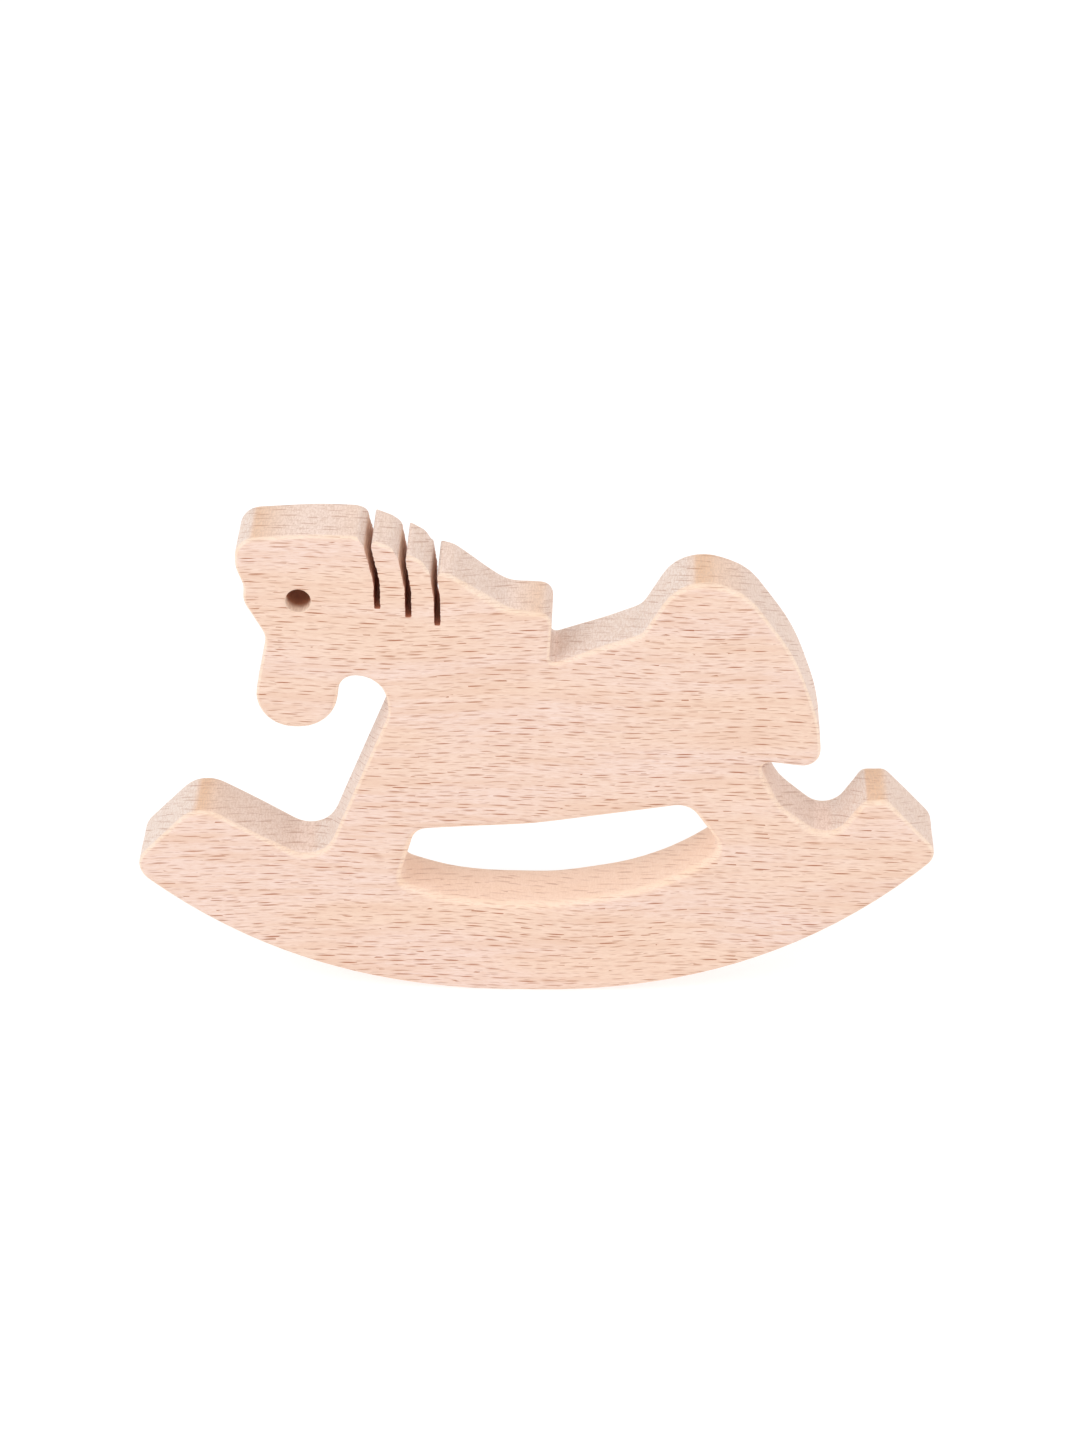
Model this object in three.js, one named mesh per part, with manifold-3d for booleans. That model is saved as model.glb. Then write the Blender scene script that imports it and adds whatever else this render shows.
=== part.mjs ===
// A flat wooden rocking horse for the hand, sawn from one beech board: horse, toes and rocker are one
// piece, with three saw cuts for the mane, a drilled eye and a grip slot. Millimetres, +Z up.
// X runs along the horse with the head at -X, Y through the board, and the floor is at z = 0.

import * as THREE from "three";
import { mergeVertices } from "three/addons/utils/BufferGeometryUtils.js";
import Module from "manifold-3d";

// Board
const length = 160; // over the two toes of the rocker
const height = 104; // floor to crown
const thickness = 15;
const edge_round = 1.3; // quarter round along the outline and the slot, on both faces

// Running edge of the rocker
const stand_x = -3; // middle of the short flat that it stands on, under the centre of mass
const stand_length = 7;
const rocker_rise = 29.9; // rise of the running edge half a length away from the stand
const rocker_bowl = 0.79; // share of the rise that is a parabola; the rest steepens towards the toes

// Toes of the rocker, each set from its own end of the board
const front_toe_back = 12.3; // end of the board to the crest
const front_toe_height = 43.3;
const rear_toe_back = 10.1;
const rear_toe_width = 4.7; // along its flat top
const rear_toe_height = 46.1;

// Body
const valley_x = -43.1; // corner between front toe and chest
const valley_height = 29.1;
const chest_x = -30.2;
const seat_front_x = 2.7;
const seat_front_height = 76;
const seat_back_x = 20.8;
const seat_back_height = 82.9;
const withers_height = 87.3;
const croup_x = 33.6;
const croup_height = 94.6;
const rump_x = 56.7; // tail end of the rump
const rump_height = 53.6; // floor to the underside of the rump
const hock_x = 44; // inner corner of the hollow under the rump

// Head, set from the crown
const poll_x = -32.5; // back of the head, where the mane starts
const head_length = 26;
const throat_drop = 30.2; // crown to the top of the throat
const chin_drop = 42.7;
const throat_width = 8.2;

// Mane: three saw cuts, each dropping straight in, bending back and ending square
const kerf_width = 1.25;
const kerf_backs = [0.4, 7, 13]; // from the poll to the middle of each mouth
const kerf_drop = 15.6; // crown to the bottom of the first cut
const kerf_step = 1.75; // each next cut ends this much lower
const kerf_leans = [1.6, 1, 0.6]; // how far each cut bends back
const tuft_ease = 1.6; // size of the eased rear corner of each tuft
const kerf_clearance = 0.04; // the easing cut stays this far above the mane's line

// Eye
const eye_diameter = 5;
const eye_back = 12.7; // from the forehead
const eye_drop = 14.2; // from the crown
const eye_round = 0.4;

// Grip slot, a crescent above the running edge
const slot_front_x = -27.6;
const slot_back_x = 36.6;
const slot_front_height = 23.6;
const slot_back_height = 30.6;
const slot_sag = 20.9; // floor to the lowest point of the slot
const slot_roof_front = 37.6;
const slot_roof_back = 44.3;

// Fineness of the faceted surface
const arc_step = THREE.MathUtils.degToRad(15);
const longest_chord = 3;
const running_edge_steps = 20; // on each side of the stand
const round_steps = 2; // across the quarter round of an edge
const tight_corner = 0.1; // least radius left where an edge round meets a tight corner

// The end of the board on one side: -1 at the front, +1 at the rear.
const boardEnd = (side) => (side * length) / 2;

// A corner of an outline: where it is, and its radius.
const corner = (x, z, round) => ({ x, z, round });

// Height of the running edge at x.
function runningEdge(x) {
  const reach = Math.max(0, Math.abs(x - stand_x) - stand_length / 2);
  const share = reach / ((length - stand_length) / 2);
  return rocker_rise * (rocker_bowl * share ** 2 + (1 - rocker_bowl) * share ** 4);
}

// The running edge from nose to nose, with the flat of the stand in the middle.
function rocker(front_nose_x, rear_nose_x) {
  const flat_front = stand_x - stand_length / 2;
  const flat_back = stand_x + stand_length / 2;
  const points = [];
  for (let i = 1; i <= running_edge_steps; i++) {
    const x = THREE.MathUtils.lerp(front_nose_x, flat_front, i / running_edge_steps);
    points.push(corner(x, runningEdge(x), 0));
  }
  for (let i = 0; i < running_edge_steps; i++) {
    const x = THREE.MathUtils.lerp(flat_back, rear_nose_x, i / running_edge_steps);
    points.push(corner(x, runningEdge(x), 0));
  }
  return points;
}

// Rear toe, from its nose over the crest to the hollow under the rump.
function rearToe(nose_x) {
  const crest_x = boardEnd(1) - rear_toe_back;
  return [
    corner(nose_x, runningEdge(nose_x), 3.4),
    corner(crest_x, rear_toe_height, 2.2),
    corner(crest_x - rear_toe_width, rear_toe_height - 0.3, 1.8),
    corner(crest_x - rear_toe_width - 6.4, rear_toe_height - 9.9, 4.8),
  ];
}

// Underside and back of the rump, and the croup, down to the seat.
function rumpAndCroup() {
  return [
    corner(hock_x + 4.5, rump_height - 9.1, 9),
    corner(hock_x - 0.2, rump_height + 1.2, 1.6),
    corner(rump_x - 0.2, rump_height - 0.1, 3.4),
    corner(rump_x - 0.8, rump_height + 10.1, 40),
    corner(rump_x - 6.1, croup_height - 16, 40),
    corner(croup_x + 7.6, croup_height - 2.8, 12),
    corner(croup_x, croup_height, 9),
    corner(croup_x - 6.8, croup_height - 1.4, 9),
    corner(seat_back_x, seat_back_height, 4),
    corner(seat_front_x, seat_front_height, 1),
  ];
}

// Top of the withers.
function withers() {
  return [
    corner(seat_front_x + 0.7, withers_height, 2.5),
    corner(seat_front_x - 7.9, withers_height + 0.7, 7),
  ];
}

// The crown, the highest point of the head.
const crown = () => corner(poll_x - head_length + 16, height, 60);

// The line of the mane before it is sawn, from the neck up to the head.
function maneLine() {
  return [
    corner(poll_x + 16.4, height - 8.4, 4),
    corner(poll_x + kerf_backs[2] + 0.6, height - 7.7, 1),
    corner(poll_x + kerf_backs[2] - 0.6, height - 6.5, 1.5),
    corner(poll_x + 7.3, height - 3.5, 20),
    corner(poll_x - 0.7, height - 0.3, 3),
  ];
}

// Height of the mane's line, or of the head's top in front of it, at x.
function maneHeight(x) {
  const line = [...maneLine(), crown()];
  const next = Math.max(1, line.findIndex((point) => point.x <= x));
  const [behind, before] = [line[next - 1], line[next]];
  return THREE.MathUtils.mapLinear(x, before.x, behind.x, before.z, behind.z);
}

// One saw cut as an outline: down its rear wall, across its bottom, up its front wall, and over the
// eased corner of the tuft in front of it.
function kerfCorners(index) {
  const half = kerf_width / 2;
  const mouth = poll_x + kerf_backs[index];
  const foot = mouth + kerf_leans[index];
  const surface = maneHeight(mouth - half) + kerf_clearance;
  const eased_x = mouth - half - 2 * tuft_ease;
  const bottom = height - kerf_drop - index * kerf_step;
  const above = surface + 4;
  return [
    corner(mouth + half, above, 0),
    corner(mouth + half, surface - 1.5, 6),
    corner(foot + half, bottom + 6, 6),
    corner(foot + half, bottom, 0.2),
    corner(foot - half, bottom, 0.2),
    corner(foot - half, bottom + 6, 6),
    corner(mouth - half, surface - 2.6, 6),
    corner(mouth - half - 0.1, surface - tuft_ease, 2),
    corner(mouth - half - tuft_ease, maneHeight(mouth - half - tuft_ease) + kerf_clearance, 2),
    corner(eased_x, maneHeight(eased_x) + kerf_clearance, 0),
    corner(eased_x, above, 0),
  ];
}

// Forehead, nose, muzzle, chin and throat, from the crown forwards and round.
function headAndThroat() {
  const brow_x = poll_x - head_length;
  const chin = height - chin_drop;
  const throat = height - throat_drop;
  return [
    crown(),
    corner(brow_x + 0.7, height - 1.1, 4.2),
    corner(brow_x + 0.7, height - 7.2, 5),
    corner(brow_x + 2.2, height - 11.4, 3),
    corner(brow_x + 1.9, height - 14.6, 4),
    corner(brow_x + 6.2, height - 22.4, 4),
    corner(brow_x + 2.2, chin, 7.2),
    corner(chest_x - throat_width - 1.1, chin + 0.1, 7.6),
    corner(chest_x - throat_width + 0.2, throat - 0.7, 3.4),
    corner(chest_x + 0.6, throat - 0.8, 6),
    corner(chest_x + 1.5, throat - 9.2, 5),
  ];
}

// The valley and the front toe, down to its nose.
function frontToe(nose_x) {
  return [
    corner(valley_x, valley_height, 6),
    corner(boardEnd(-1) + front_toe_back, front_toe_height, 6.5),
    corner(nose_x, runningEdge(nose_x), 4.4),
  ];
}

// All the corners of the board, against the clock as seen from -Y.
function boardCorners() {
  const front_nose_x = boardEnd(-1) - 1.7;
  const rear_nose_x = boardEnd(1) + 1;
  return [
    ...rocker(front_nose_x, rear_nose_x),
    ...rearToe(rear_nose_x),
    ...rumpAndCroup(),
    ...withers(),
    ...maneLine(),
    ...headAndThroat(),
    ...frontToe(front_nose_x),
  ];
}

// The grip slot's corners.
function slotCorners() {
  const middle = (slot_front_x + slot_back_x) / 2 - 9;
  return [
    corner(slot_front_x, slot_front_height + 1.6, 2.6),
    corner(slot_front_x + 3.6, slot_roof_front, 3.4),
    corner(middle + 4.5, slot_roof_front + 1.7, 60),
    corner(slot_back_x - 6, slot_roof_back, 4.4),
    corner(slot_back_x + 0.9, slot_back_height + 3.5, 3),
    corner(slot_back_x - 11.5, slot_back_height - 5.8, 50),
    corner(middle + 9, slot_sag, 50),
    corner(middle - 11, slot_sag, 50),
  ];
}

// The eye's corners: a circle drawn as one many-sided ring.
function eyeCorners() {
  const x = poll_x - head_length + eye_back;
  const z = height - eye_drop;
  const sides = 20;
  const points = [];
  for (let i = 0; i < sides; i++) {
    const turn = (-2 * Math.PI * i) / sides;
    const radius = eye_diameter / 2;
    points.push(corner(x + radius * Math.cos(turn), z + radius * Math.sin(turn), 0));
  }
  return points;
}

// Where a corner of an outline stands, its two sides, and half the angle between them.
function sidesOf(corners, i) {
  const count = corners.length;
  const [before, here, after] = [i + count - 1, i, i + 1].map((j) => corners[j % count]);
  const at = new THREE.Vector2(here.x, here.z);
  const from = new THREE.Vector2(before.x, before.z).sub(at);
  const to = new THREE.Vector2(after.x, after.z).sub(at);
  const cosine = from.dot(to) / from.length() / to.length();
  return { at, from, to, half: Math.acos(THREE.MathUtils.clamp(cosine, -1, 1)) / 2 };
}

// What a corner's round takes of a side, when the corner at the other end takes its share too.
const shareOf = (side, mine, theirs) => Math.min(mine, (side * mine) / (mine + theirs));

// Points along one rounded corner, each with the most that its edge may be rounded, which is less than
// the corner's own radius where the outline turns outwards.
function cornerPoints(corners, i, wanted) {
  const { at, from, to, half } = sidesOf(corners, i);
  const count = corners.length;
  if (corners[i].round === 0) {
    return [{ point: at, most: Infinity }];
  }
  const turns_left = to.cross(from) > 0;
  const set_back = Math.min(
    shareOf(from.length(), wanted[i], wanted[(i + count - 1) % count]),
    shareOf(to.length(), wanted[i], wanted[(i + 1) % count]),
  );
  const radius = set_back * Math.tan(half);
  const tight = turns_left ? Math.max(radius - tight_corner, tight_corner) : Infinity;
  const middle = from.clone().normalize().add(to.clone().normalize()).normalize();
  const centre = middle.multiplyScalar(radius / Math.sin(half)).add(at);
  const start = from.clone().setLength(set_back).add(at).sub(centre);
  const sweep = (Math.PI - 2 * half) * (turns_left ? 1 : -1);
  const finest = Math.min(arc_step, longest_chord / radius);
  const steps = Math.max(1, Math.ceil(Math.abs(sweep) / finest));
  const points = [];
  for (let i = 0; i <= steps; i++) {
    const spoke = start.clone().rotateAround(new THREE.Vector2(), (sweep * i) / steps);
    points.push({ point: spoke.add(centre), most: tight });
  }
  return points;
}

// An outline from its corners, as a ring of points.
function ringOf(corners) {
  const wanted = corners.map(({ round }, i) => round / Math.tan(sidesOf(corners, i).half));
  return corners.flatMap((_, i) => cornerPoints(corners, i, wanted));
}

// The ring moved inwards, into the material, by up to the given amount.
function insetRing(ring, amount) {
  const count = ring.length;
  return ring.map(({ point, most }, i) => {
    const before = ring[(i + count - 1) % count].point;
    const after = ring[(i + 1) % count].point;
    const incoming = point.clone().sub(before).normalize();
    const outgoing = after.clone().sub(point).normalize();
    const inwards = incoming.clone().add(outgoing).normalize();
    inwards.set(-inwards.y, inwards.x);
    const slant = Math.max(0.5, inwards.dot(new THREE.Vector2(-outgoing.y, outgoing.x)));
    return point.clone().addScaledVector(inwards, Math.min(amount, most) / slant);
  });
}

// Depths and insets of the layers from the back face (+Y) to the front face (-Y).
function layers(round) {
  const one_side = [];
  for (let i = 0; i <= round_steps; i++) {
    const turn = (Math.PI / 2) * (i / round_steps);
    one_side.push({ inset: round * (1 - Math.sin(turn)), depth: thickness / 2 - round * (1 - Math.cos(turn)) });
  }
  const other_side = one_side.map(({ inset, depth }) => ({ inset, depth: -depth })).reverse();
  return [...one_side, ...other_side];
}

// A board with rounded edges: its outline and its holes, each with its own edge round.
function roundedBoard(outline, holes) {
  const positions = [];
  const triangles = [];
  const faces = [];
  for (const { ring, round } of [outline, ...holes]) {
    const stack = layers(round).map(({ inset, depth }) => ({ points: insetRing(ring, inset), depth }));
    const first = positions.length / 3;
    stack.forEach(({ points, depth }) => points.forEach(({ x, y }) => positions.push(x, depth, y)));
    const count = ring.length;
    for (let layer = 0; layer + 1 < stack.length; layer++) {
      for (let i = 0; i < count; i++) {
        const a = first + layer * count + i;
        const b = first + layer * count + ((i + 1) % count);
        triangles.push(a, b, a + count, b, b + count, a + count);
      }
    }
    faces.push({ points: stack[0].points, first, last: first + (stack.length - 1) * count });
  }
  closeFaces(faces, triangles);
  const geometry = new THREE.BufferGeometry();
  geometry.setAttribute("position", new THREE.Float32BufferAttribute(positions, 3));
  geometry.setIndex(triangles);
  geometry.computeVertexNormals();
  return geometry;
}

// The two broad faces of the board, between its outline and its holes.
function closeFaces(faces, triangles) {
  const [outer, ...inner] = faces;
  const cover = THREE.ShapeUtils.triangulateShape(
    outer.points,
    inner.map((face) => face.points),
  );
  const back = faces.flatMap((face) => face.points.map((_, i) => face.first + i));
  const front = faces.flatMap((face) => face.points.map((_, i) => face.last + i));
  for (const [a, b, c] of cover) {
    triangles.push(back[a], back[c], back[b]);
    triangles.push(front[a], front[b], front[c]);
  }
}

// A straight-sided cutter through the whole board, from an outline.
function throughCut(corners) {
  const shape = new THREE.Shape(ringOf(corners).map(({ point }) => point));
  const depth = thickness + 2;
  const geometry = new THREE.ExtrudeGeometry(shape, { depth, bevelEnabled: false, steps: 1 });
  return geometry.translate(0, 0, -depth / 2).rotateX(Math.PI / 2);
}

// A geometry as a solid that can be cut.
function solidFrom(geometry) {
  const bare = geometry.clone().deleteAttribute("normal").deleteAttribute("uv");
  const merged = mergeVertices(bare, 1e-4);
  return new wasm.Manifold(
    new wasm.Mesh({
      numProp: 3,
      vertProperties: merged.attributes.position.array,
      triVerts: new Uint32Array(merged.index.array),
    }),
  );
}

// A cut solid as a geometry again.
function geometryFrom(solid) {
  const mesh = solid.getMesh();
  const geometry = new THREE.BufferGeometry();
  geometry.setAttribute("position", new THREE.BufferAttribute(mesh.vertProperties, 3));
  geometry.setIndex(new THREE.BufferAttribute(mesh.triVerts, 1));
  geometry.computeVertexNormals();
  return geometry;
}

// The horse: the board with its slot and eye, and the mane sawn into it.
function rockingHorse() {
  const board = roundedBoard({ ring: ringOf(boardCorners()), round: edge_round }, [
    { ring: ringOf(slotCorners()), round: edge_round },
    { ring: ringOf(eyeCorners()), round: eye_round },
  ]);
  let horse = solidFrom(board);
  for (const index of kerf_backs.keys()) {
    horse = horse.subtract(solidFrom(throughCut(kerfCorners(index))));
  }
  return geometryFrom(horse);
}

const wasm = await Module();
wasm.setup();

const beech = new THREE.MeshStandardMaterial({ color: "#f0cfbb", roughness: 0.7, metalness: 0 });

const horse = new THREE.Mesh(rockingHorse(), beech);
horse.name = "rocking_horse";

const group = new THREE.Group();
group.add(horse);

export default group;
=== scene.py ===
# A flat wooden rocking horse for the hand: one beech board, sawn, drilled and sanded.
# Metres, +Z up. X runs along the horse with the head at -X, and Y through the board.

import bmesh
import bpy
import numpy as np
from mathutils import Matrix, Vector
from mathutils.geometry import tessellate_polygon


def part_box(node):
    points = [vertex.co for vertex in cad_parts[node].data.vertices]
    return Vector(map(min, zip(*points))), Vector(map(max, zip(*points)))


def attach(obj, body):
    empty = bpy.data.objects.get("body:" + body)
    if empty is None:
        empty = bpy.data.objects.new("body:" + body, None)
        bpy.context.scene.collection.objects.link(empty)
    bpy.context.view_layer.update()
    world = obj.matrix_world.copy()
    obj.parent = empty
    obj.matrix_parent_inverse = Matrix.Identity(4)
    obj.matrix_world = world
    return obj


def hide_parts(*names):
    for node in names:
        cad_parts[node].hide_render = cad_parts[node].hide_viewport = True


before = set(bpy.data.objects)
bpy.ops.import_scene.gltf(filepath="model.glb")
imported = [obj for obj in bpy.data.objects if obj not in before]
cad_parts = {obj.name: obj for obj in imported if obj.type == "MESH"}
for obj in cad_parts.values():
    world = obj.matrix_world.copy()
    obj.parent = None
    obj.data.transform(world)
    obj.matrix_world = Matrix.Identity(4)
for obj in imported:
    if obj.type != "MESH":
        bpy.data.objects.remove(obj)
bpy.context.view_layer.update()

# ---------------------------------------------------------------------------------------------
# The board
# Horse, toes and rocker are one piece of beech, 15 mm thick, with the grain along its length.
# It is sawn to its outline with a grip slot and a drilled eye, and every edge is rounded over
# and sanded by hand, so the round is never quite even.
# ---------------------------------------------------------------------------------------------

MM = 0.001

# Points closer than this are one point, and a smaller turn than this, in radians, is none.
SAME_POINT = 0.0005 * MM
STRAIGHT_TURN = 0.002

# The spacing of points along the sawn edges, and how far sanding has softened their corners.
POINT_SPACING = 0.45 * MM
SANDED_SOFTNESS = 0.32 * MM

# The rounded edges, and how much the hand and the saw wander along them.
EDGE_ROUND = 1.3 * MM
SLOT_ROUND = 2.5 * MM
EYE_ROUND = 0.5 * MM
ROUND_STEPS = 6
FACE_MARGIN = 0.35 * MM
WALL_ROWS = 5
UNEVEN = 0.1
UNEVEN_RANGE = (0.75, 1.25)
UNEVEN_WAVES = range(3, 16)
RIPPLE = 0.035 * MM
RIPPLE_WAVES = range(6, 60)

# A round is narrower where the wood is too narrow for it.
ROOM_SHARE = 0.8
NARROW_POINTS = 4
FOLD_TRIES = 40
FOLD_SHARE = 0.15
FOLD_CUT = 0.9

# Where the sander dwelt, as x, z, reach and how much wider the round is there, in mm: the neck
# behind the mane, the seat, the croup, the hollow of the rear toe, the rear toe itself, the
# valley before the chest and the front toe. There it is deeper too, by a share of that.
DEPTH_SHARE = 0.65
DWELT_ON = (
    (-8, 90, 6.5, 2.0),
    (14, 80, 8, 1.2),
    (35, 94, 9, 1.2),
    (56, 39, 9, 1.6),
    (46, 50, 4, 1.6),
    (68, 46, 5, 1.1),
    (-46, 32, 9, 1.0),
    (-66, 41.5, 7, 0.5),
)

# How far along a crest counts, the radius that makes it a tight one, and how bent it has to be,
# as a share of that, before it shows.
CREST_REACH = 3.0 * MM
CREST_RADIUS = 20 * MM
CREST_START = 0.4

board_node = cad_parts["rocking_horse"]
board_low, board_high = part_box("rocking_horse")
half_thickness = (board_high.y - board_low.y) / 2


def section_loops(node_object):
    """The closed outlines of a board at its middle plane, as arrays of x and z, longest first."""
    sliced = bmesh.new()
    sliced.from_mesh(node_object.data)
    bmesh.ops.remove_doubles(sliced, verts=sliced.verts, dist=SAME_POINT)
    bmesh.ops.bisect_plane(
        sliced,
        geom=sliced.verts[:] + sliced.edges[:] + sliced.faces[:],
        plane_co=(0, 0, 0),
        plane_no=(0, 1, 0),
        clear_outer=True,
    )
    open_edges = [edge for edge in sliced.edges if edge.is_boundary]
    ways = {}
    for edge in open_edges:
        for vertex in edge.verts:
            ways.setdefault(vertex, []).append(edge.other_vert(vertex))
    loops = []
    while ways:
        start = next(iter(ways))
        loop = [start]
        here = ways[start][0]
        while here != start:
            loop.append(here)
            here = next(vertex for vertex in ways[here] if vertex != loop[-2])
        for vertex in loop:
            del ways[vertex]
        loops.append(np.array([(vertex.co.x, vertex.co.z) for vertex in loop]))
    sliced.free()
    return sorted(loops, key=lambda loop: -length_around(loop))


def length_around(loop):
    """Length of a closed loop."""
    return np.linalg.norm(np.roll(loop, -1, axis=0) - loop, axis=1).sum()


def area_of(loop):
    """Signed area of a closed loop, positive when it runs against the clock."""
    x, z = loop.T
    return 0.5 * np.sum(x * np.roll(z, -1) - z * np.roll(x, -1))


def corners_only(loop):
    """A loop without the points that lie on straight runs."""
    before = loop - np.roll(loop, 1, axis=0)
    after = np.roll(loop, -1, axis=0) - loop
    before /= np.linalg.norm(before, axis=1)[:, None]
    after /= np.linalg.norm(after, axis=1)[:, None]
    turn = np.abs(before[:, 0] * after[:, 1] - before[:, 1] * after[:, 0])
    return loop[turn > STRAIGHT_TURN]


def evenly(loop):
    """A closed loop with points at an even spacing."""
    closed = np.vstack([loop, loop[:1]])
    steps = np.linalg.norm(np.diff(closed, axis=0), axis=1)
    along = np.concatenate([[0], np.cumsum(steps)])
    count = int(round(along[-1] / POINT_SPACING))
    wanted = np.linspace(0, along[-1], count, endpoint=False)
    return np.column_stack([np.interp(wanted, along, closed[:, k]) for k in (0, 1)])


def averaged(values, reach):
    """Values round a loop, each averaged with its neighbours over a bell of the given reach."""
    half = int(np.ceil(3 * reach / POINT_SPACING))
    steps = np.arange(-half, half + 1)
    bell = np.exp(-0.5 * (steps * POINT_SPACING / reach) ** 2)
    bell /= bell.sum()
    return sum(np.roll(values, step, axis=0) * weight for step, weight in zip(steps, bell))


def with_neighbours(values):
    """Values round a loop, stacked with those of the next few points to either side."""
    steps = range(-NARROW_POINTS, NARROW_POINTS + 1)
    return np.array([np.roll(values, step) for step in steps])


def into_wood(loop):
    """Unit vectors that point into the wood, which lies to the left of the loop."""
    along = np.roll(loop, -1, axis=0) - np.roll(loop, 1, axis=0)
    along /= np.linalg.norm(along, axis=1)[:, None]
    return np.column_stack([-along[:, 1], along[:, 0]])


def bend_along(loop, reach):
    """How a loop bends at each point, as one over the radius, positive where the wood bulges."""
    along = np.roll(loop, -1, axis=0) - loop
    before = np.roll(along, 1, axis=0)
    turn = np.arctan2(
        before[:, 0] * along[:, 1] - before[:, 1] * along[:, 0],
        (before * along).sum(axis=1),
    )
    return averaged(turn, reach) / POINT_SPACING


def room_inside(loop, wanted):
    """How far each point may move into the wood before its neighbours cross over."""
    radius = 1 / np.maximum(bend_along(loop, 2 * POINT_SPACING), 1)
    room = with_neighbours(np.minimum(wanted, ROOM_SHARE * radius)).min(axis=0)
    return averaged(room, 2 * POINT_SPACING)


def unfolded(loop, inwards, width):
    """Widths of the round, narrowed wherever its inner edge would fold back on itself."""
    along = np.roll(loop, -1, axis=0) - loop
    for _ in range(FOLD_TRIES):
        inner = loop + inwards * (width + FACE_MARGIN)[:, None]
        moved = np.roll(inner, -1, axis=0) - inner
        folded = (moved * along).sum(axis=1) < FOLD_SHARE * (along**2).sum(axis=1)
        if not folded.any():
            break
        near = with_neighbours(folded).any(axis=0)
        width = averaged(np.where(near, FOLD_CUT * width, width), POINT_SPACING)
    return width


def crest_share(loop):
    """How much each point lies on a crest that sanding has burnished, 1 on a tight one."""
    bend = bend_along(loop, CREST_REACH)
    share = np.clip(bend * CREST_RADIUS - CREST_START, 0, 1)
    return averaged(share, CREST_REACH)


def hand_wobble(count, waves, seed):
    """A smooth random wobble round a loop, between about -1 and 1."""
    draw = np.random.default_rng(seed)
    turn = np.linspace(0, 2 * np.pi, count, endpoint=False)
    parts = [draw.normal() * np.cos(wave * turn + draw.uniform(0, 2 * np.pi)) for wave in waves]
    return sum(parts) / np.sqrt(len(waves))


# The saw cuts of the mane run deep between two close points of the outline. Each is taken out
# of the outline here and sawn again after the edges are rounded, as the maker does.
MOUTH_WIDEST = 2.7 * MM
CUT_SHORTEST = 14 * MM
CUT_LONGEST = 60 * MM
CUT_FEWEST_POINTS = 3
CUT_MOST_POINTS = 60


def find_saw_cuts(loop):
    """Index pairs of the two lips of each deep, narrow cut in a loop."""
    count = len(loop)
    closed = np.vstack([loop, loop])
    along = np.concatenate([[0], np.cumsum(np.linalg.norm(np.diff(closed, axis=0), axis=1))])
    found = []
    for first in range(count):
        end = min(first + CUT_MOST_POINTS, 2 * count)
        for last in range(first + CUT_FEWEST_POINTS, end):
            way = along[last] - along[first]
            if way > CUT_LONGEST:
                break
            gap = np.linalg.norm(closed[last] - closed[first])
            if gap < MOUTH_WIDEST and way > CUT_SHORTEST:
                found.append((way, first, last))
    found.sort(reverse=True)
    cuts = []
    for _, first, last in found:
        taken = set(range(first, last + 1))
        if all(taken.isdisjoint(range(a, b + 1)) for a, b in cuts) and first < count:
            cuts.append((first, last))
    return sorted(cuts)


# The outline runs against the clock and the holes with it, so the wood lies to their left.
loops = [corners_only(loop) for loop in section_loops(board_node)]
sawn_outline, slot_loop, eye_loop = [
    loop if (area_of(loop) > 0) == (index == 0) else loop[::-1] for index, loop in enumerate(loops)
]
start = int(np.argmin(sawn_outline[:, 1]))
sawn_outline = np.roll(sawn_outline, -start, axis=0)
saw_cuts = find_saw_cuts(sawn_outline)
inside_cuts = {index for first, last in saw_cuts for index in range(first + 1, last)}
outline = np.array([point for index, point in enumerate(sawn_outline) if index not in inside_cuts])


def rounded_rings(loop, edge_round, seed):
    """Rings of points from the near face, over both rounded edges, to the far face."""
    soft = averaged(evenly(loop), SANDED_SOFTNESS)
    inwards = into_wood(soft)
    count = len(soft)
    wider = np.zeros(count)
    for x, z, reach, extra in DWELT_ON:
        away = np.linalg.norm(soft - np.array([x, z]) * MM, axis=1) / (reach * MM)
        wider += extra * MM * np.exp(-(away**2))

    def ring(inset, depth):
        moved = soft + inwards * np.broadcast_to(inset, count)[:, None]
        return np.column_stack([moved[:, 0], np.broadcast_to(depth, count), moved[:, 1]])

    sides = []
    for side in (-1, 1):
        uneven = 1 + UNEVEN * hand_wobble(count, UNEVEN_WAVES, seed + side)
        uneven = np.clip(uneven, *UNEVEN_RANGE)
        wanted = edge_round * uneven + wider
        width = unfolded(soft, inwards, np.minimum(wanted, room_inside(soft, wanted)))
        deep = edge_round + DEPTH_SHARE * wider
        rings = [ring(width + FACE_MARGIN, side * half_thickness)]
        for step in range(ROUND_STEPS + 1):
            turn = np.pi / 2 * step / ROUND_STEPS
            depth = side * (half_thickness - deep * (1 - np.cos(turn)))
            rings.append(ring(width * (1 - np.sin(turn)), depth))
        sides.append(rings)
    near, far = sides
    walls = []
    for row in range(1, WALL_ROWS + 1):
        share = row / (WALL_ROWS + 1)
        depth = (1 - share) * near[-1][:, 1] + share * far[-1][:, 1]
        walls.append(ring(RIPPLE * hand_wobble(count, RIPPLE_WAVES, seed + row), depth))
    return near + walls + far[::-1], crest_share(soft)


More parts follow.
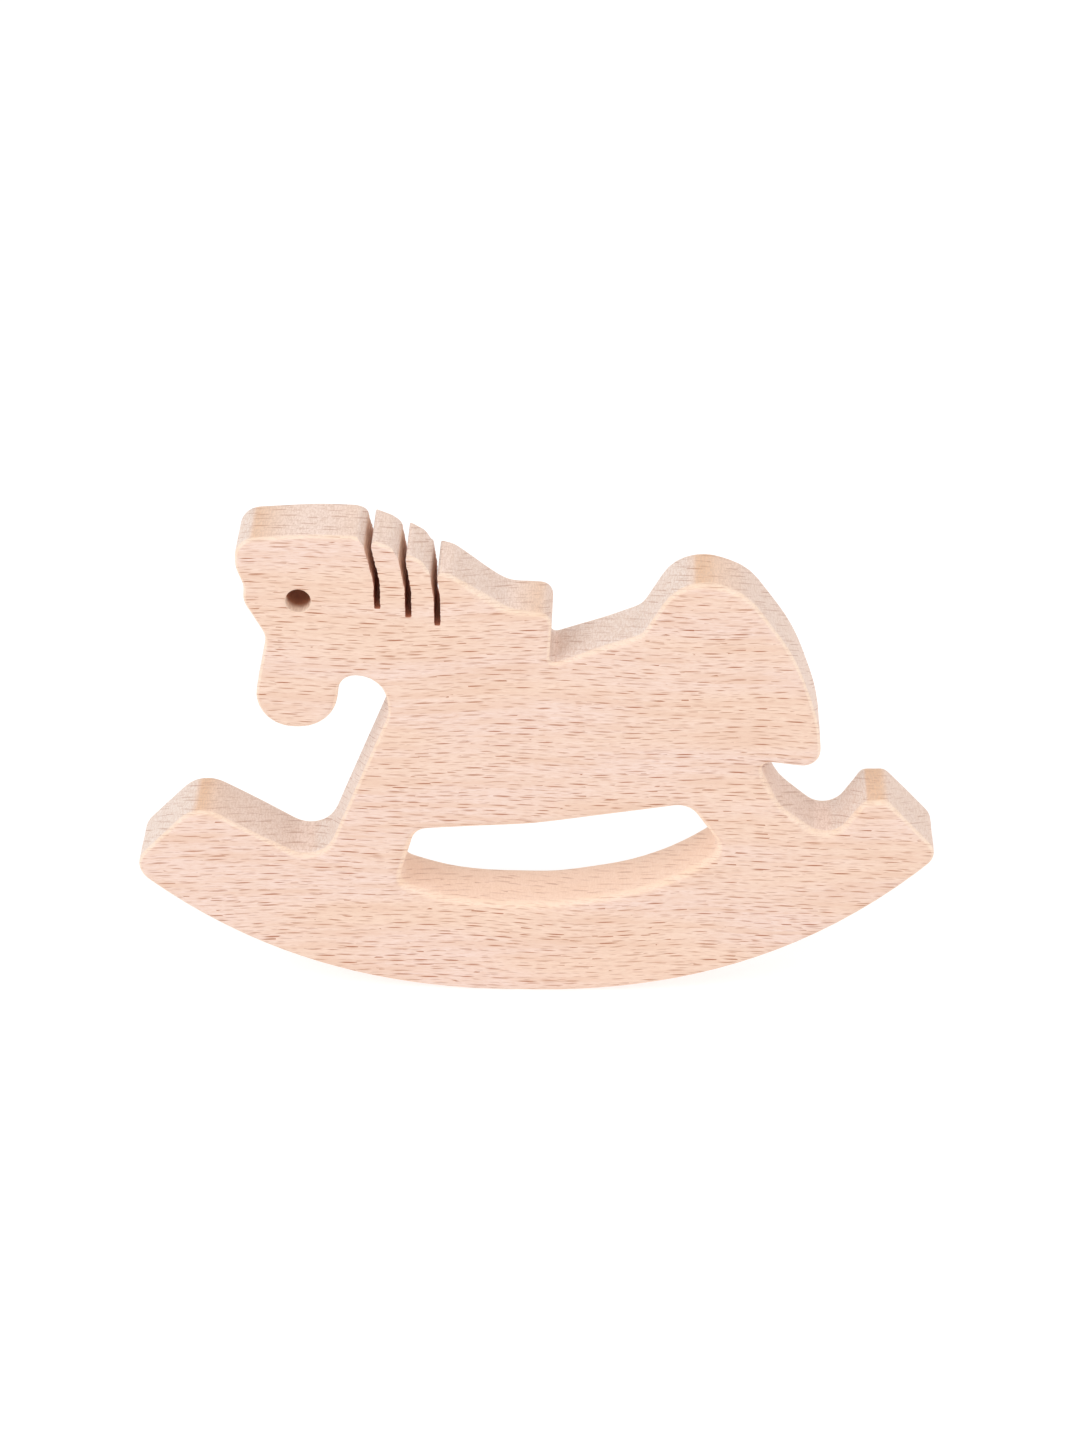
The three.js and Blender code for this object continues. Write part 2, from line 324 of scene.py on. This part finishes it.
def board_mesh(name, ring_stacks):
    """A closed board mesh from one stack of rings for the outline and one for each hole."""
    board = bmesh.new()
    # Each point's crest share, and its share of painted light on the wall of the grip slot.
    crest = board.verts.layers.float.new("crest")
    slot_painted_light = board.verts.layers.float.new("slot_painted_light")
    end_rings = {0: [], -1: []}
    for (stack, crests), has_slot_painted_light in ring_stacks:
        rows = [[board.verts.new(point) for point in ring] for ring in stack]
        for row in rows:
            for vertex, share in zip(row, crests):
                vertex[crest] = share
                vertex[slot_painted_light] = has_slot_painted_light
        for upper, lower in zip(rows, rows[1:]):
            count = len(upper)
            for i in range(count):
                j = (i + 1) % count
                board.faces.new((upper[i], upper[j], lower[j], lower[i]))
        for end in end_rings:
            end_rings[end].append(rows[end])
    for rings in end_rings.values():
        flat = [vertex for ring in rings for vertex in ring]
        for corners in tessellate_polygon([[vertex.co for vertex in ring] for ring in rings]):
            board.faces.new([flat[corner] for corner in corners])
    bmesh.ops.recalc_face_normals(board, faces=board.faces)
    mesh = bpy.data.meshes.new(name)
    board.to_mesh(mesh)
    board.free()
    return mesh


# The outline, the grip slot, whose wall carries painted light, and the eye.
stacks = [
    (rounded_rings(outline, EDGE_ROUND, seed=11), 0.0),
    (rounded_rings(slot_loop, SLOT_ROUND, seed=31), 1.0),
    (rounded_rings(eye_loop, EYE_ROUND, seed=51), 0.0),
]
horse = bpy.data.objects.new("sanded_horse", board_mesh("sanded_horse", stacks))
bpy.context.scene.collection.objects.link(horse)


# Raw beech, sanded and left without a coating: matt, pale pink brown, with the short dark
# dashes of its rays along the grain. Where the saw crossed the grain it is greyer and fuzzy.
# Sanding has burnished the rounded edges and crests to a warmer tone. On top of that the rounds
# carry a painted highlight, crests facing away from the key light a painted shade, sawn edges
# facing it painted light, and the wall of the grip slot painted light.
def linear(hex_colour):
    """A linear colour from an sRGB hex value."""
    parts = [int(hex_colour[k : k + 2], 16) / 255 for k in (1, 3, 5)]
    return [*(c / 12.92 if c <= 0.04045 else ((c + 0.055) / 1.055) ** 2.4 for c in parts), 1.0]


def add_node(tree, kind, settings=None, links=None):
    """Adds a node with its settings, and links its sockets from sockets or from other nodes."""
    made = tree.nodes.new(kind)
    for name, value in (settings or {}).items():
        if isinstance(name, str) and hasattr(made, name):
            setattr(made, name, value)
        else:
            made.inputs[name].default_value = value
    for name, source in (links or {}).items():
        if isinstance(source, bpy.types.Node):
            source = next(socket for socket in source.outputs if socket.enabled)
        tree.links.new(source, made.inputs[name])
    return made


SMOOTH = {"interpolation_type": "SMOOTHSTEP"}
COLOUR_MIX = {"data_type": "RGBA"}


def ray_flecks(tree, grain, cell, half_length, half_width):
    """Dark dashes along the grain, one to each cell in mm, of uneven size and strength."""
    squeezed = add_node(tree, "ShaderNodeVectorMath", {"operation": "DIVIDE", 1: cell}, {0: grain})
    cells = add_node(
        tree, "ShaderNodeTexVoronoi", {"Scale": 1.0, "Randomness": 0.85}, {"Vector": squeezed}
    )
    offset = add_node(
        tree,
        "ShaderNodeVectorMath",
        {"operation": "SUBTRACT"},
        {0: squeezed, 1: cells.outputs["Position"]},
    )
    in_dashes = (cell[0] / half_length, 0, cell[2] / half_width)
    offset = add_node(
        tree, "ShaderNodeVectorMath", {"operation": "MULTIPLY", 1: in_dashes}, {0: offset}
    )
    far = add_node(tree, "ShaderNodeVectorMath", {"operation": "LENGTH"}, {0: offset})
    chance = add_node(tree, "ShaderNodeSeparateColor", links={0: cells.outputs["Color"]})
    size = add_node(
        tree,
        "ShaderNodeMath",
        {"operation": "MULTIPLY_ADD", 1: 0.55, 2: 0.5},
        {0: chance.outputs[0]},
    )
    far = add_node(tree, "ShaderNodeMath", {"operation": "DIVIDE"}, {0: far, 1: size})
    dash = add_node(
        tree, "ShaderNodeMapRange", {**SMOOTH, 1: 0.45, 2: 1.3, 3: 1.0, 4: 0.0}, {0: far}
    )
    strength = add_node(
        tree,
        "ShaderNodeMath",
        {"operation": "MULTIPLY_ADD", 1: 0.6, 2: 0.4},
        {0: chance.outputs[1]},
    )
    return add_node(tree, "ShaderNodeMath", {"operation": "MULTIPLY"}, {0: dash, 1: strength})


# Sizes of the grain in mm, along the board, through it and up it.
BROAD_GRAIN = (70, 6, 9)
BAND_GRAIN = (26, 4, 1.8)
FIBRE_GRAIN = (5.0, 0.7, 0.3)
FUZZ_GRAIN = (1.3, 0.5, 0.17)
SAW_HATCH = (0.26, 1.5, 0.26)
PORES_PER_MM = 2.6
WANDER_PER_MM = 0.016
WANDER = (0, 6, 5)

# The rays: the cell of each fleck, half its length and half its width in mm. They stand askew
# to the faces by this angle in radians.
BOLD_FLECKS = ((5.2, 15, 1.35), 2.2, 0.13)
FAINT_FLECKS = ((3.8, 12, 1.0), 1.3, 0.1)
RAY_TILT = 0.5


def beech_material(name):
    """Sanded beech with its grain along X."""
    material = bpy.data.materials.new(name)
    material.use_nodes = True
    tree = material.node_tree
    tree.nodes.clear()
    place = add_node(tree, "ShaderNodeTexCoord")
    in_mm = add_node(
        tree,
        "ShaderNodeVectorMath",
        {"operation": "SCALE", "Scale": 1 / MM},
        {0: place.outputs["Object"]},
    )

    # The grain wanders by a millimetre or so over a few centimetres.
    wander = add_node(
        tree, "ShaderNodeTexNoise", {"Scale": WANDER_PER_MM, "Detail": 1.0}, {"Vector": in_mm}
    )
    wander = add_node(
        tree,
        "ShaderNodeVectorMath",
        {"operation": "MULTIPLY_ADD", 1: WANDER, 2: [-0.5 * reach for reach in WANDER]},
        {0: wander.outputs["Color"]},
    )
    grain = add_node(tree, "ShaderNodeVectorMath", {"operation": "ADD"}, {0: in_mm, 1: wander})
    rays = add_node(
        tree,
        "ShaderNodeVectorRotate",
        {"rotation_type": "X_AXIS", "Angle": RAY_TILT},
        {"Vector": grain},
    )
    bold = ray_flecks(tree, rays, *BOLD_FLECKS)
    faint = ray_flecks(tree, rays, *FAINT_FLECKS)
    faint = add_node(tree, "ShaderNodeMath", {"operation": "MULTIPLY", 1: 0.5}, {0: faint})
    flecks = add_node(tree, "ShaderNodeMath", {"operation": "MAXIMUM"}, {0: bold, 1: faint})

    streaks = {}
    for kind, space, size, detail in (
        ("broad", grain, BROAD_GRAIN, 1.0),
        ("bands", grain, BAND_GRAIN, 3.0),
        ("fibres", grain, FIBRE_GRAIN, 3.0),
        ("fuzz", grain, FUZZ_GRAIN, 2.0),
        ("hatch", in_mm, SAW_HATCH, 1.0),
    ):
        sized = add_node(tree, "ShaderNodeVectorMath", {"operation": "DIVIDE", 1: size}, {0: space})
        streaks[kind] = add_node(
            tree, "ShaderNodeTexNoise", {"Scale": 1.0, "Detail": detail}, {"Vector": sized}
        )
    pores = add_node(
        tree, "ShaderNodeTexNoise", {"Scale": PORES_PER_MM, "Detail": 2.0}, {"Vector": in_mm}
    )

    # Faces: pale pink, warmer in broad areas, with tan bands and fine fibres.
    share = add_node(tree, "ShaderNodeMapRange", {**SMOOTH, 1: 0.4, 2: 0.65}, {0: streaks["broad"]})
    colour = add_node(
        tree,
        "ShaderNodeMix",
        {**COLOUR_MIX, 6: linear("#EBD2C7"), 7: linear("#ECD0BD")},
        {0: share},
    )
    for kind, low, high, most, tint in (
        ("bands", 0.46, 0.68, 0.65, "#E1BEA8"),
        ("fibres", 0.3, 0.7, 0.5, "#DFBEA8"),
        ("fuzz", 0.42, 0.75, 0.6, "#DDB7A2"),
    ):
        share = add_node(
            tree,
            "ShaderNodeMapRange",
            {**SMOOTH, 1: low, 2: high, 3: 0.0, 4: most},
            {0: streaks[kind]},
        )
        colour = add_node(
            tree, "ShaderNodeMix", {**COLOUR_MIX, 7: linear(tint)}, {0: share, 6: colour}
        )

    # Sawn edges: pale along the grain, greyer and fuzzy across it.
    facing = add_node(tree, "ShaderNodeSeparateXYZ", links={0: place.outputs["Normal"]})
    fore_aft, across, _ = facing.outputs
    across_face = add_node(tree, "ShaderNodeMath", {"operation": "ABSOLUTE"}, {0: across})
    across_grain = add_node(tree, "ShaderNodeMath", {"operation": "ABSOLUTE"}, {0: fore_aft})
    steep = add_node(tree, "ShaderNodeMapRange", {**SMOOTH, 1: 0.2, 2: 0.6}, {0: across_grain})
    sawn = add_node(
        tree,
        "ShaderNodeMix",
        {**COLOUR_MIX, 6: linear("#F9E3D7"), 7: linear("#EED9CD")},
        {0: steep},
    )
    # Painted light: sawn edges facing fore, towards the key light, are painted paler and more neutral.
    fore = add_node(tree, "ShaderNodeMapRange", {**SMOOTH, 1: -0.1, 2: -0.5}, {0: fore_aft})
    sawn = add_node(tree, "ShaderNodeMix", {**COLOUR_MIX, 7: linear("#F3E5DC")}, {0: fore, 6: sawn})

    # Crests: burnished brown orange where they face up and back, and pale on their fore side. The
    # brown orange is partly burnish and partly painted shade, on the side away from the key light.
    crest = add_node(tree, "ShaderNodeAttribute", {"attribute_name": "crest"}).outputs["Fac"]
    for fore_or_steep in (
        {1: -0.36, 2: -0.12, 3: 0.05, 4: 1.0},
        {1: -0.1, 2: 0.7, 3: 1.0, 4: 0.1},
    ):
        shade_side_share = add_node(tree, "ShaderNodeMapRange", {**SMOOTH, **fore_or_steep}, {0: fore_aft})
        crest = add_node(tree, "ShaderNodeMath", {"operation": "MULTIPLY"}, {0: crest, 1: shade_side_share})
    sawn = add_node(tree, "ShaderNodeMix", {**COLOUR_MIX, 7: linear("#ECC3A0")}, {0: crest, 6: sawn})

    # The saw's fine hatch and the open pores are darker, all over the sawn edges.
    rough = add_node(tree, "ShaderNodeMath", {"operation": "ADD"}, {0: streaks["hatch"], 1: pores})
    share = add_node(
        tree, "ShaderNodeMapRange", {**SMOOTH, 1: 0.8, 2: 1.2, 3: 0.0, 4: 0.5}, {0: rough}
    )
    sawn = add_node(tree, "ShaderNodeMix", {**COLOUR_MIX, 7: linear("#D2B29C")}, {0: share, 6: sawn})

    # The wall of the grip slot is painted paler and warmer, painted light for the light that reaches
    # into the slot under the body, and the mix hides much of the saw's hatch there.
    slot_painted_light = add_node(tree, "ShaderNodeAttribute", {"attribute_name": "slot_painted_light"}).outputs["Fac"]
    share = add_node(tree, "ShaderNodeMath", {"operation": "MULTIPLY", 1: 0.65}, {0: slot_painted_light})
    sawn = add_node(tree, "ShaderNodeMix", {**COLOUR_MIX, 7: linear("#FADDC6")}, {0: share, 6: sawn})
    edge = add_node(
        tree, "ShaderNodeMapRange", {**SMOOTH, 1: 0.1, 2: 0.92, 3: 0.85, 4: 0.0}, {0: across_face}
    )
    colour = add_node(tree, "ShaderNodeMix", COLOUR_MIX, {0: edge, 6: colour, 7: sawn})

    # Rounded edges: burnished by sanding and painted paler along the middle of each round, a painted
    # highlight, patchily, and warmer in some places than in others.
    burnish_and_highlight = add_node(
        tree,
        "ShaderNodeMix",
        {**COLOUR_MIX, 6: linear("#F9E7D8"), 7: linear("#F3D3B4")},
        {0: streaks["bands"]},
    )
    away = add_node(tree, "ShaderNodeMath", {"operation": "SUBTRACT", 0: 1.0}, {1: across_face})
    band = add_node(tree, "ShaderNodeMath", {"operation": "MULTIPLY"}, {0: across_face, 1: away})
    share = add_node(
        tree, "ShaderNodeMapRange", {**SMOOTH, 1: 0.1, 2: 0.24, 3: 0.0, 4: 0.85}, {0: band}
    )
    patchy = add_node(
        tree,
        "ShaderNodeMapRange",
        {**SMOOTH, 1: 0.4, 2: 0.65, 3: 1.0, 4: 0.45},
        {0: streaks["fuzz"]},
    )
    share = add_node(tree, "ShaderNodeMath", {"operation": "MULTIPLY"}, {0: share, 1: patchy})
    colour = add_node(tree, "ShaderNodeMix", COLOUR_MIX, {0: share, 6: colour, 7: burnish_and_highlight})

    # The rays show as dashes everywhere, less on the sawn and rounded edges.
    on_round = add_node(
        tree, "ShaderNodeMapRange", {**SMOOTH, 1: 0.06, 2: 0.2, 3: 1.0, 4: 0.5}, {0: band}
    )
    flecks = add_node(tree, "ShaderNodeMath", {"operation": "MULTIPLY"}, {0: flecks, 1: on_round})
    share = add_node(
        tree, "ShaderNodeMapRange", {**SMOOTH, 1: 0.2, 2: 0.85, 3: 1.0, 4: 0.5}, {0: edge}
    )
    share = add_node(tree, "ShaderNodeMath", {"operation": "MULTIPLY"}, {0: flecks, 1: share})
    colour = add_node(
        tree, "ShaderNodeMix", {**COLOUR_MIX, 7: linear("#A2603A")}, {0: share, 6: colour}
    )

    # To the touch: fibres and fuzz stand up a little, and the rays lie a little lower.
    fuzzy = add_node(tree, "ShaderNodeMath", {"operation": "MULTIPLY"}, {0: rough, 1: edge})
    raised = add_node(
        tree, "ShaderNodeMath", {"operation": "MULTIPLY", 1: 0.6}, {0: streaks["fibres"]}
    )
    for source, height in ((flecks, -0.6), (fuzzy, 0.6)):
        raised = add_node(
            tree, "ShaderNodeMath", {"operation": "MULTIPLY_ADD", 1: height}, {0: source, 2: raised}
        )
    bump = add_node(
        tree, "ShaderNodeBump", {"Strength": 0.35, "Distance": 0.05 * MM}, {"Height": raised}
    )
    shader = add_node(
        tree,
        "ShaderNodeBsdfPrincipled",
        {"Roughness": 0.68, "Specular IOR Level": 0.35, "IOR": 1.5},
        {"Base Color": colour, "Normal": bump},
    )
    add_node(tree, "ShaderNodeOutputMaterial", links={"Surface": shader})
    return material


sanded_beech = beech_material("sanded_beech")
horse.data.materials.append(sanded_beech)


# ---------------------------------------------------------------------------------------------
# The eye
# A hole drilled straight through the head, its rim eased by sanding. Its wall is painted brown
# towards the middle of the board, a painted shade deep in the hole, and pale near both faces.
# ---------------------------------------------------------------------------------------------

WALL_STREAKS = (0.6, 3.0, 0.5)
WITHIN_THE_EYE = 1.1


def depth_shaded_material(name, lean, deep, shallow, deep_colour, streak_colour):
    """Beech painted darker deep down, a painted shade, and pale at the shallow end of a direction, in
    mm.
    """
    material = bpy.data.materials.new(name)
    material.use_nodes = True
    tree = material.node_tree
    tree.nodes.clear()
    place = add_node(tree, "ShaderNodeTexCoord")
    in_mm = add_node(
        tree,
        "ShaderNodeVectorMath",
        {"operation": "SCALE", "Scale": 1 / MM},
        {0: place.outputs["Object"]},
    )
    sized = add_node(
        tree, "ShaderNodeVectorMath", {"operation": "DIVIDE", 1: WALL_STREAKS}, {0: in_mm}
    )
    streaks = add_node(tree, "ShaderNodeTexNoise", {"Scale": 1.0, "Detail": 3.0}, {"Vector": sized})
    either_side = add_node(tree, "ShaderNodeVectorMath", {"operation": "ABSOLUTE"}, {0: in_mm})
    out = add_node(
        tree, "ShaderNodeVectorMath", {"operation": "DOT_PRODUCT", 1: lean}, {0: either_side}
    )
    share = add_node(tree, "ShaderNodeMapRange", {**SMOOTH, 1: deep, 2: shallow}, {0: out})
    colour = add_node(
        tree,
        "ShaderNodeMix",
        {**COLOUR_MIX, 6: linear(deep_colour), 7: linear("#FAE2CE")},
        {0: share},
    )
    share = add_node(
        tree, "ShaderNodeMapRange", {**SMOOTH, 1: 0.35, 2: 0.65, 3: 0.0, 4: 0.3}, {0: streaks}
    )
    colour = add_node(
        tree, "ShaderNodeMix", {**COLOUR_MIX, 7: linear(streak_colour)}, {0: share, 6: colour}
    )
    shader = add_node(
        tree,
        "ShaderNodeBsdfPrincipled",
        {"Roughness": 0.8, "Specular IOR Level": 0.2},
        {"Base Color": colour},
    )
    add_node(tree, "ShaderNodeOutputMaterial", links={"Surface": shader})
    return material


# The eye's wall: painted dark in the middle of the board, a painted shade deep in the hole, and pale
# towards both faces.
horse.data.materials.append(
    depth_shaded_material(
        "eye_wall_painted_shade",
        lean=(0, 1, 0),
        deep=3.6,
        shallow=6.0,
        deep_colour="#C28A6C",
        streak_colour="#A87058",
    )
)
eye_centre = eye_loop.mean(axis=0)
eye_radius = np.linalg.norm(eye_loop - eye_centre, axis=1).max()
for face in horse.data.polygons:
    from_eye = np.hypot(face.center.x - eye_centre[0], face.center.z - eye_centre[1])
    in_the_wall = abs(face.center.y) < half_thickness - EYE_ROUND
    if from_eye < WITHIN_THE_EYE * eye_radius and in_the_wall:
        face.material_index = 1


# ---------------------------------------------------------------------------------------------
# The mane
# Three saw cuts into the neck, each 1.25 mm wide, dropping straight in and bending back. Their
# brown walls are painted darker towards the bottom of the cuts, a painted shade, and their lips are a
# little ragged.
# ---------------------------------------------------------------------------------------------

CUT_SPACING = 0.35 * MM
RAGGED = 0.045 * MM
RAGGED_UPWARDS = 0.3
ABOVE_THE_MANE = 5 * MM
SANDED_LIP = 2.5 * MM
PAST_THE_FACES = 2 * MM
SOFT_LIP = 1.3 * MM
LIP_STEPS = 5

# The walls of the cuts: painted dark at the bottom of the cuts, a painted shade, and paler towards
# the mane's top, which slopes down to the back.
cut_wall_shaded = depth_shaded_material(
    "saw_cut_painted_shade",
    lean=(-0.45, 0, 1),
    deep=76,
    shallow=90,
    deep_colour="#CC8C70",
    streak_colour="#A2664C",
)


def ragged_path(points, seed):
    """An open path with close points, pushed about a little by the teeth of the saw."""
    steps = np.linalg.norm(np.diff(points, axis=0), axis=1)
    along = np.concatenate([[0], np.cumsum(steps)])
    wanted = np.linspace(0, along[-1], int(along[-1] / CUT_SPACING))
    path = np.column_stack([np.interp(wanted, along, points[:, k]) for k in (0, 1)])
    push = np.random.default_rng(seed).normal(0, RAGGED, len(path))
    push[:2] = 0
    push[-int(SANDED_LIP / CUT_SPACING) - 1 :] = 0
    return path + np.column_stack([push, RAGGED_UPWARDS * push])


def trimmed(points, length):
    """An open path without its first stretch of the given length."""
    along = np.concatenate([[0], np.cumsum(np.linalg.norm(np.diff(points, axis=0), axis=1))])
    start = [np.interp(length, along, points[:, k]) for k in (0, 1)]
    return np.vstack([start, points[along > length]])


def saw_blade(index, first, last):
    """A prism that fills one saw cut, eases its rear lip, and stands out past the mane and faces."""
    top = trimmed(sawn_outline[first::-1], SOFT_LIP)[0]
    wall = trimmed(sawn_outline[first : last + 1], SOFT_LIP)
    shares = np.linspace(0, 1, LIP_STEPS)[:, None]
    corner = sawn_outline[first]
    lip = (1 - shares) ** 2 * top + 2 * shares * (1 - shares) * corner + shares**2 * wall[0]
    walls = np.vstack([lip[:-1], ragged_path(wall, seed=71 + index)])
    lift = np.array([0, ABOVE_THE_MANE])
    shape = np.vstack([walls, walls[-1:] + lift, walls[:1] + lift])
    blade = bmesh.new()
    depth = half_thickness + PAST_THE_FACES
    rows = [[blade.verts.new((x, side * depth, z)) for x, z in shape] for side in (-1, 1)]
    count = len(shape)
    sanded_from = len(walls) - int(SANDED_LIP / CUT_SPACING)
    for i in range(count):
        j = (i + 1) % count
        face = blade.faces.new((rows[0][i], rows[0][j], rows[1][j], rows[1][i]))
        face.material_index = 1 if i >= sanded_from or i < LIP_STEPS else 0
    for row in rows:
        blade.faces.new(row)
    bmesh.ops.recalc_face_normals(blade, faces=blade.faces)
    mesh = bpy.data.meshes.new(f"blade_{index}")
    blade.to_mesh(mesh)
    blade.free()
    mesh.materials.append(cut_wall_shaded)
    mesh.materials.append(sanded_beech)
    return bpy.data.objects.new(f"blade_{index}", mesh)


for index, (first, last) in enumerate(saw_cuts):
    blade = saw_blade(index, first, last)
    bpy.context.scene.collection.objects.link(blade)
    saw = horse.modifiers.new(f"saw_{index}", "BOOLEAN")
    saw.operation = "DIFFERENCE"
    saw.solver = "EXACT"
    saw.material_mode = "TRANSFER"
    saw.object = blade
    sawn = bpy.data.meshes.new_from_object(
        horse.evaluated_get(bpy.context.evaluated_depsgraph_get())
    )
    horse.modifiers.remove(saw)
    bpy.data.objects.remove(blade)
    horse.data = sawn

horse.data.name = "sanded_horse"

# The rounded edges shade smoothly, and the corners of the cuts stay sharp.
SHARP_OVER = np.radians(38)
finished = bmesh.new()
finished.from_mesh(horse.data)
for face in finished.faces:
    face.smooth = True
for edge in finished.edges:
    edge.smooth = len(edge.link_faces) != 2 or edge.calc_face_angle(0) < SHARP_OVER
finished.to_mesh(horse.data)
finished.free()

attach(horse, "root")
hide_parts("rocking_horse")


# ---------------------------------------------------------------------------------------------
# The studio
# A plain white floor, a broad soft light from the upper left in front, a weaker one from the
# right, and a white room that is a little darker behind the horse.
# ---------------------------------------------------------------------------------------------

FLOOR_SIZE = 16.0
floor_mesh = bpy.data.meshes.new("floor")
half_floor = FLOOR_SIZE / 2
floor_corners = ((-1, -1), (1, -1), (1, 1), (-1, 1))
floor_mesh.from_pydata(
    [(x * half_floor, y * half_floor, 0) for x, y in floor_corners], [], [(0, 1, 2, 3)]
)
floor = bpy.data.objects.new("floor", floor_mesh)
bpy.context.scene.collection.objects.link(floor)

# Matt white board, bright enough of its own to stay plain.
white_board = bpy.data.materials.new("white_board")
white_board.use_nodes = True
white_shader = white_board.node_tree.nodes["Principled BSDF"]
white_shader.inputs["Base Color"].default_value = (0.5, 0.5, 0.5, 1)
white_shader.inputs["Roughness"].default_value = 0.9
white_shader.inputs["Specular IOR Level"].default_value = 0.1
white_shader.inputs["Emission Color"].default_value = (1, 1, 1, 1)
white_shader.inputs["Emission Strength"].default_value = 0.6
floor_mesh.materials.append(white_board)


def softbox(name, place, target, size, watts):
    """A square soft light that shines from a place towards a target."""
    data = bpy.data.lights.new(name, "AREA")
    data.shape = "SQUARE"
    data.size = size
    data.energy = watts
    light = bpy.data.objects.new(name, data)
    light.location = place
    light.rotation_euler = (Vector(target) - Vector(place)).to_track_quat("-Z", "Y").to_euler()
    bpy.context.scene.collection.objects.link(light)


middle = Vector((0, 0, board_high.z / 2))
softbox("key", place=(-0.85, -0.8, 1.0), target=middle, size=0.8, watts=5.3)
softbox("fill", place=(1.0, -0.4, 0.8), target=middle, size=1.0, watts=2.5)

LIGHT_IN_FRONT = 0.93
LIGHT_BEHIND = 0.76
world = bpy.data.worlds.new("studio")
world.use_nodes = True
room = world.node_tree
way = add_node(room, "ShaderNodeTexCoord")
way = add_node(room, "ShaderNodeSeparateXYZ", links={0: way.outputs["Generated"]})
light_there = add_node(
    room,
    "ShaderNodeMapRange",
    {**SMOOTH, 1: -0.7, 2: 0.7, 3: LIGHT_IN_FRONT, 4: LIGHT_BEHIND},
    {0: way.outputs[1]},
)
room.nodes["Background"].inputs["Color"].default_value = (1, 1, 1, 1)
room.links.new(light_there.outputs[0], room.nodes["Background"].inputs["Strength"])
bpy.context.scene.world = world
bpy.context.scene.view_settings.view_transform = "Standard"


# ---------------------------------------------------------------------------------------------
# The camera
# A long lens, 30 degrees above the horse and square on to its side.
# ---------------------------------------------------------------------------------------------

lens = bpy.data.cameras.new("camera")
lens.lens = 100
lens.sensor_width = 36
lens.sensor_fit = "AUTO"
camera = bpy.data.objects.new("camera", lens)
camera.location = (0.01877, -0.6868, 0.4564)
aim = Vector((0.0008, 0, 0.05975))
camera.rotation_euler = (aim - camera.location).to_track_quat("-Z", "Y").to_euler()
bpy.context.scene.collection.objects.link(camera)
bpy.context.scene.camera = camera
